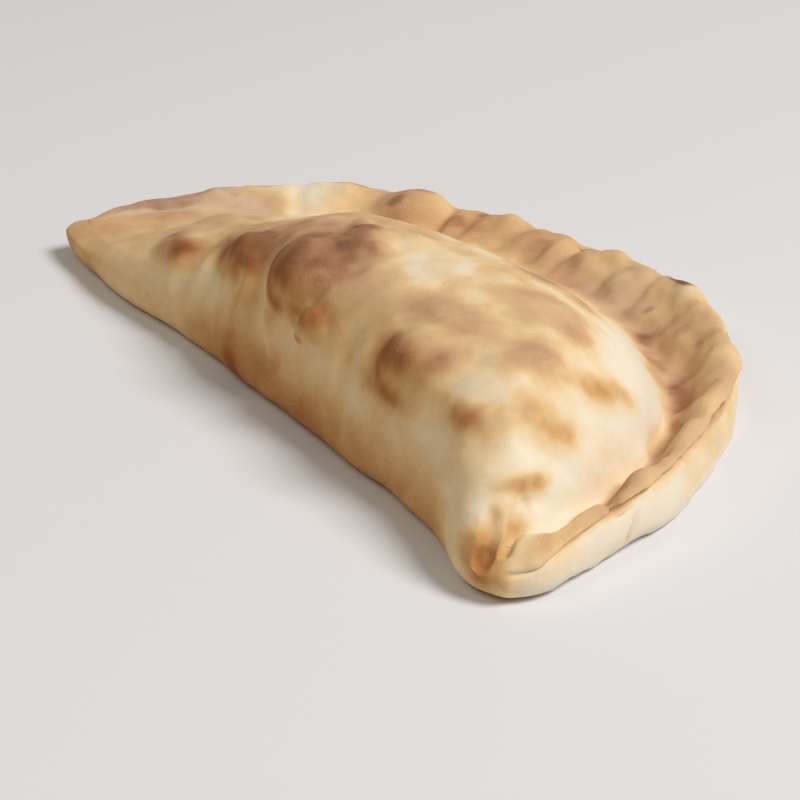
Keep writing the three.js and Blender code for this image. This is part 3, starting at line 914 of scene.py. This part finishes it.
def skin_grid():
    """Every ring's angle and every row's climb, as two matching grids."""
    turn = (np.arange(RINGS) + 0.5) / RINGS
    angles = 2 * pi * turn - TIP_CROWDING * np.sin(4 * pi * turn)
    stretches = [
        (-1, 0, UNDERSIDE_ROWS),
        (0, WALL_TOP, WALL_ROWS),
        (WALL_TOP, BELLY_FOOT, RIM_ROWS),
        (BELLY_FOOT, 1, BELLY_ROWS),
    ]
    climbs = [np.linspace(start, end, rows, endpoint=False) for start, end, rows in stretches]
    return np.meshgrid(angles, np.append(np.concatenate(climbs), 1), indexing="ij")


def without_doubles(grid):
    """A grid's values in one row. Rings that mirror each other share their point on the spine."""
    return np.concatenate([grid[:, :-1].reshape(-1, *grid.shape[2:]), grid[: RINGS // 2, -1]])


def skin_faces(rows):
    """Quads between neighbouring rings, and across the underside between rings that mirror each other."""
    rings = np.arange(RINGS)
    below_spine = rings[:, None] * (rows - 1) + np.arange(rows - 1)
    spine = RINGS * (rows - 1) + np.minimum(rings, RINGS - 1 - rings)
    index = np.column_stack([below_spine, spine]).tolist()
    faces = []
    for here, following in zip(index, index[1:] + index[:1]):
        for row in range(rows - 1):
            corners = (here[row], following[row], following[row + 1], here[row + 1])
            faces.append(tuple(dict.fromkeys(corners)))
    for ring in range(RINGS // 2 - 1):
        mirror = RINGS - 1 - ring
        faces.append((index[ring][0], index[mirror][0], index[mirror - 1][0], index[ring + 1][0]))
    return faces


def patch(squared):
    """A patch that fades out softly past its edge, which lies at a squared distance of 1."""
    return np.exp(-PATCH_SHARPNESS * np.maximum(squared, 0))


def browned_and_shaded_edge(points, x, y, half_length, half_width, turn, side):
    """A crescent along one side of a bubble, partly browning and partly painted shade: crisp at the
    bubble's edge and soft towards its middle.
    """
    squared = oval(points, x, y, half_length, half_width, turn)
    band = ease(EDGE_FROM, EDGE_FULL, squared) * (1 - ease(EDGE_FULL, EDGE_END, squared))
    direction = np.arctan2(points[..., 1] - y, points[..., 0] - x)
    return band * ease(0, EDGE_SIDE_WIDTH, np.cos(direction - radians(side)))


def seam_line(skin):
    """How dark the thin line along the middle of the seam is, where the crust has opened."""
    place = from_front_tip(skin.degrees)
    above_seam = skin.points[..., 2] - along(SEAM_HEIGHT, np.maximum(place, 0))
    opened = bump((above_seam / along(SEAM_LINE, place)) ** 2)
    return along(SEAM_BAKE, place) * opened * (skin.climb < WALL_TOP)


def above_wall(skin):
    """0 on the outer wall and 1 on the lip and inside it."""
    return ease(WALL_TOP * ABOVE_WALL_FROM, WALL_TOP * ABOVE_WALL_FULL, skin.climb)


def raw_in_patches(skin):
    """How raw patches, spots and browned edges leave the dough, painted shade and painted highlights among
    them: 1 where none lies, 0 where all is brown.
    """
    ragged = layered_noise(skin.points, RAGGED_EDGES, RAGGED_SEED)
    on_top = above_wall(skin)
    raw = np.ones_like(skin.inset)
    for *place, level in BROWNED_AND_SHADED:
        raw = raw * (1 - level * patch(oval(skin.points, *place) + ragged))
    for *place, level in RIM_BROWNED_SHADED_AND_LIT:
        raw = raw * (1 - level * on_top * patch(rim_oval(skin, *place) + ragged))
    for *place, level in RIM_SPOTS:
        spot = 1 - ease(SPOT_SOLID, SPOT_END, rim_oval(skin, *place) + ragged)
        raw = raw * (1 - level * on_top * spot)
    for *place, level in BROWNED_AND_SHADED_EDGES:
        raw = raw * (1 - level * browned_and_shaded_edge(skin.points, *place))
    return raw


def wall_tone(skin):
    """How far the outer wall is baked."""
    on_wall = ease(WALL_BAKE_START, WALL_TOP * ABOVE_WALL_FROM, skin.climb) * (1 - above_wall(skin))
    return along(WALL_BAKE, from_front_tip(skin.degrees)) * on_wall * rim_side(skin.degrees)


def rim_tone(skin):
    """How far the rim is baked."""
    on_rim = within_band(skin, RIM_BAKE_FULL, RIM_BAKE_END) * above_wall(skin)
    return along(RIM_BAKE, from_front_tip(skin.degrees)) * on_rim


def fold_bake_and_shade(skin):
    """How far the fold's side is baked, with painted shade: darker towards its foot, less and less on its
    way up.
    """
    x, y, z = np.moveaxis(skin.points, -1, 0)
    fading = 1 - FOLD_FADE * ease(FOLD_FADE_FROM, FOLD_FADE_FULL, z)
    on_fold = (1 - ease(FOLD_BAKE_FULL, FOLD_BAKE_END, y)) * (1 - rim_side(skin.degrees))
    return along(FOLD_BAKE_AND_SHADE, x) * fading * on_fold


def mottled_tone(skin):
    """Uneven browning of the belly's top."""
    noises = [noise_at(skin.points, size, MOTTLE_SEED + i) for i, size in enumerate(MOTTLE_SIZES)]
    on_top = ease(TOP_LOW, TOP_HIGH, skin.points[..., 2])
    return MOTTLE * ease(MOTTLE_FROM, MOTTLE_FULL, sum(noises)) * on_top


def bake_and_shade_levels(skin):
    """From 0, raw dough, to 1, dark brown.

    What overlaps adds up without going past 1. Part of the darkening is painted shade, and a level below 0
    makes a place paler than its surroundings, as the painted highlights do.
    """
    raw = raw_in_patches(skin) * (1 - WALL_CREASE_SHADE * wall_crease(skin))
    for tone in (seam_line, wall_tone, rim_tone, fold_bake_and_shade, mottled_tone):
        raw = raw * (1 - tone(skin))
    return 1 - np.minimum(raw, RAWEST)


def dust_levels(skin, normals):
    """Flour dust: on the flatter parts of the belly's top and the far end, and thinly on the rim."""
    x, z = skin.points[..., 0], skin.points[..., 2]
    far_end = FAR_DUST * (1 - ease(FAR_DUST_FROM, FAR_DUST_TO, x))
    wavering = DUST_WAVER * noise_at(skin.points, DUST_WAVER_SIZE, DUST_SEED)
    high = ease(DUST_LOW, DUST_HIGH, z + far_end + wavering)
    on_top = high * ease(DUST_STEEP, DUST_FLAT, normals[..., 2])
    on_rim = within_band(skin, RIM_DUST_FULL, RIM_DUST_END)
    return np.maximum(on_top, along(RIM_DUST, from_front_tip(skin.degrees)) * on_rim)


def srgb(red, green, blue):
    """A colour named by its values on a screen, from 0 to 255, as the linear values that a shader takes."""
    return (*(((value / 255 + 0.055) / 1.055) ** 2.4 for value in (red, green, blue)), 1)


class Nodes:
    """Short names for the few kinds of node that the materials are made of."""

    def __init__(self, material):
        material.use_nodes = True
        self.tree = material.node_tree
        self.shader = self.tree.nodes["Principled BSDF"]
        self.place = self.tree.nodes.new("ShaderNodeTexCoord").outputs["Object"]

    def join(self, value, socket):
        if isinstance(value, bpy.types.NodeSocket):
            self.tree.links.new(value, socket)
        else:
            socket.default_value = value

    def attribute(self, name):
        node = self.tree.nodes.new("ShaderNodeAttribute")
        node.attribute_name = name
        return node.outputs["Fac"]

    def noise(self, size, detail=2.0, roughness=0.5, distortion=0.0):
        """Noise with features of a size in mm, from 0 to 1."""
        node = self.tree.nodes.new("ShaderNodeTexNoise")
        self.tree.links.new(self.place, node.inputs["Vector"])
        node.inputs["Scale"].default_value = 1 / (size * MM)
        node.inputs["Detail"].default_value = detail
        node.inputs["Roughness"].default_value = roughness
        node.inputs["Distortion"].default_value = distortion
        return node.outputs["Fac"]

    def math(self, operation, a, b=0.0, c=0.0):
        node = self.tree.nodes.new("ShaderNodeMath")
        node.operation = operation
        for value, socket in zip((a, b, c), node.inputs):
            self.join(value, socket)
        return node.outputs["Value"]

    def spread(self, value, low, high, new_low=0.0, new_high=1.0):
        """A value between low and high, stretched to lie between two new ends."""
        node = self.tree.nodes.new("ShaderNodeMapRange")
        node.interpolation_type = "SMOOTHSTEP"
        for entry, socket in zip((value, low, high, new_low, new_high), node.inputs):
            self.join(entry, socket)
        return node.outputs["Result"]

    def ramp(self, value, stops):
        node = self.tree.nodes.new("ShaderNodeValToRGB")
        elements = node.color_ramp.elements
        while len(elements) < len(stops):
            elements.new(0.5)
        for element, (position, colour) in zip(elements, stops):
            element.position = position
            element.color = colour
        self.join(value, node.inputs["Fac"])
        return node.outputs["Color"]

    def mix(self, share, a, b):
        node = self.tree.nodes.new("ShaderNodeMix")
        node.data_type = "RGBA"
        self.join(share, node.inputs["Factor"])
        self.join(a, node.inputs[MIX_COLOUR_A])
        self.join(b, node.inputs[MIX_COLOUR_B])
        return node.outputs[MIX_COLOUR_OUT]

    def bump(self, height, strength, distance, normal=None):
        node = self.tree.nodes.new("ShaderNodeBump")
        node.inputs["Strength"].default_value = strength
        node.inputs["Distance"].default_value = distance * MM
        self.tree.links.new(height, node.inputs["Height"])
        if normal is not None:
            self.tree.links.new(normal, node.inputs["Normal"])
        return node.outputs["Normal"]


def browned_and_shaded_level(nodes):
    """The level of browning and painted shade, with the unevenness that is finer than the skin's points."""
    broad = nodes.math("SUBTRACT", nodes.noise(BROAD_SIZE, detail=3, distortion=0.4), NOISE_MIDDLE)
    fine = nodes.math("SUBTRACT", nodes.noise(FINE_SIZE, detail=3, roughness=0.6), NOISE_MIDDLE)
    uneven = nodes.math("MULTIPLY_ADD", broad, BROAD_SHARE, nodes.math("MULTIPLY", fine, FINE_SHARE))
    return nodes.math("ADD", nodes.attribute("bake_and_shade"), uneven)


def with_dust(nodes, colour, level):
    """Flour dust greys the browned crust, and shows less on raw dough and on the darkest places."""
    shows = nodes.math("MULTIPLY", nodes.spread(level, *DUST_ON_PALE), nodes.spread(level, *DUST_ON_DARK))
    dust = nodes.math("MULTIPLY", nodes.attribute("dust"), shows)
    return nodes.mix(dust, colour, srgb(*DUST_COLOUR))


def with_flour(nodes, colour):
    grains = nodes.spread(nodes.noise(FLOUR_GRAIN_SIZE, detail=2), *FLOUR_GRAIN)
    places = nodes.spread(nodes.noise(FLOUR_PLACE_SIZE), *FLOUR_PLACES)
    return nodes.mix(nodes.math("MULTIPLY", grains, places), colour, srgb(*FLOUR_COLOUR))


def crust_material():
    material = bpy.data.materials.new("baked_crust")
    nodes = Nodes(material)
    level = browned_and_shaded_level(nodes)
    crust_colours = [(position, srgb(*colour)) for position, colour in CRUST_COLOURS]
    colour = with_dust(nodes, nodes.ramp(level, crust_colours), level)
    nodes.join(with_flour(nodes, colour), nodes.shader.inputs["Base Color"])
    nodes.shader.inputs["Roughness"].default_value = CRUST_ROUGHNESS
    nodes.shader.inputs["Specular IOR Level"].default_value = CRUST_SPECULAR
    nodes.shader.inputs["Subsurface Weight"].default_value = SCATTER_SHARE
    nodes.shader.inputs["Subsurface Radius"].default_value = SCATTER_RED_GREEN_BLUE
    nodes.shader.inputs["Subsurface Scale"].default_value = SCATTER_DEPTH * MM
    pits = nodes.bump(nodes.noise(PIT_SIZE, detail=4, roughness=0.6), PIT_STRENGTH, PIT_DEPTH)
    pores = nodes.bump(nodes.noise(PORE_SIZE, detail=2), PORE_STRENGTH, PORE_DEPTH, pits)
    nodes.join(pores, nodes.shader.inputs["Normal"])
    return material


def all_relief(skin):
    """How far the skin is raised by everything on it, in mm."""
    reliefs = (blister_relief, crease_relief, rim_relief, flute_relief, swell_relief)
    return sum(relief(skin) for relief in reliefs) - WALL_CREASE_DEPTH * wall_crease(skin)


def make_calzone():
    """The skin as one closed mesh, centred as the solid is. Also gives the middle that it was moved by."""
    angle, climb = skin_grid()
    skin = Skin(angle, climb)
    normals = skin_normals(angle, climb)
    relief = (all_relief(skin) * ease(RELIEF_FOOT, RELIEF_FULL, climb))[..., None]
    points = skin.points + normals * relief
    points[..., 2] = np.maximum(points[..., 2], 0)
    low, high = points.reshape(-1, 3).min(0), points.reshape(-1, 3).max(0)
    middle = np.array([(low[0] + high[0]) / 2, (low[1] + high[1]) / 2, 0])
    mesh = bpy.data.meshes.new("calzone_crust")
    mesh.from_pydata((without_doubles(points - middle) * MM).tolist(), [], skin_faces(climb.shape[1]))
    mesh.validate()
    mesh.shade_smooth()
    for name, levels in (("bake_and_shade", bake_and_shade_levels(skin)), ("dust", dust_levels(skin, normals))):
        mesh.attributes.new(name, "FLOAT", "POINT").data.foreach_set("value", without_doubles(levels))
    mesh.materials.append(crust_material())
    crust = bpy.data.objects.new("calzone_crust", mesh)
    bpy.context.scene.collection.objects.link(crust)
    return crust, middle


def add_camera(middle):
    camera = bpy.data.objects.new("camera", bpy.data.cameras.new("camera"))
    camera.data.lens = CAMERA_LENS
    camera.location = (Vector(CAMERA_AT) - Vector(middle)) * MM
    aim = (Vector(CAMERA_AIM) - Vector(middle)) * MM
    camera.rotation_euler = (aim - camera.location).to_track_quat("-Z", "Y").to_euler()
    bpy.context.scene.collection.objects.link(camera)
    bpy.context.scene.camera = camera


def add_floor():
    mesh = bpy.data.meshes.new("floor")
    corners = [(-FLOOR_REACH, -FLOOR_REACH, 0), (FLOOR_REACH, -FLOOR_REACH, 0)]
    corners += [(FLOOR_REACH, FLOOR_REACH, 0), (-FLOOR_REACH, FLOOR_REACH, 0)]
    mesh.from_pydata(corners, [], [(0, 1, 2, 3)])
    floor = bpy.data.objects.new("floor", mesh)
    bpy.context.scene.collection.objects.link(floor)
    paint = bpy.data.materials.new("floor_paint")
    paint.use_nodes = True
    shader = paint.node_tree.nodes["Principled BSDF"]
    shader.inputs["Base Color"].default_value = FLOOR_COLOUR
    shader.inputs["Roughness"].default_value = FLOOR_ROUGHNESS
    mesh.materials.append(paint)


def add_fill_light():
    world = bpy.data.worlds.new("studio")
    bpy.context.scene.world = world
    world.use_nodes = True
    background = world.node_tree.nodes["Background"]
    background.inputs["Color"].default_value = FILL_COLOUR
    background.inputs["Strength"].default_value = FILL_STRENGTH


def add_lamp(name, at, size, power, colour):
    light = bpy.data.lights.new(name, "AREA")
    light.energy = power
    light.color = colour
    light.shape = "DISK"
    light.size = size
    lamp = bpy.data.objects.new(name, light)
    lamp.location = Vector(at)
    lamp.rotation_euler = (-lamp.location).to_track_quat("-Z", "Y").to_euler()
    bpy.context.scene.collection.objects.link(lamp)


def add_studio():
    """A pale floor, a large soft lamp high behind the rim, a weaker one over the fold, and a weak fill."""
    add_floor()
    add_fill_light()
    add_lamp("key", KEY_AT, KEY_SIZE, KEY_POWER, KEY_COLOUR)
    add_lamp("sky", SKY_AT, SKY_SIZE, SKY_POWER, SKY_COLOUR)
    bpy.context.scene.view_settings.view_transform = "Standard"


def main():
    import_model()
    crust, middle = make_calzone()
    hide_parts("calzone")
    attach(crust, "root")
    add_camera(middle)
    add_studio()


main()
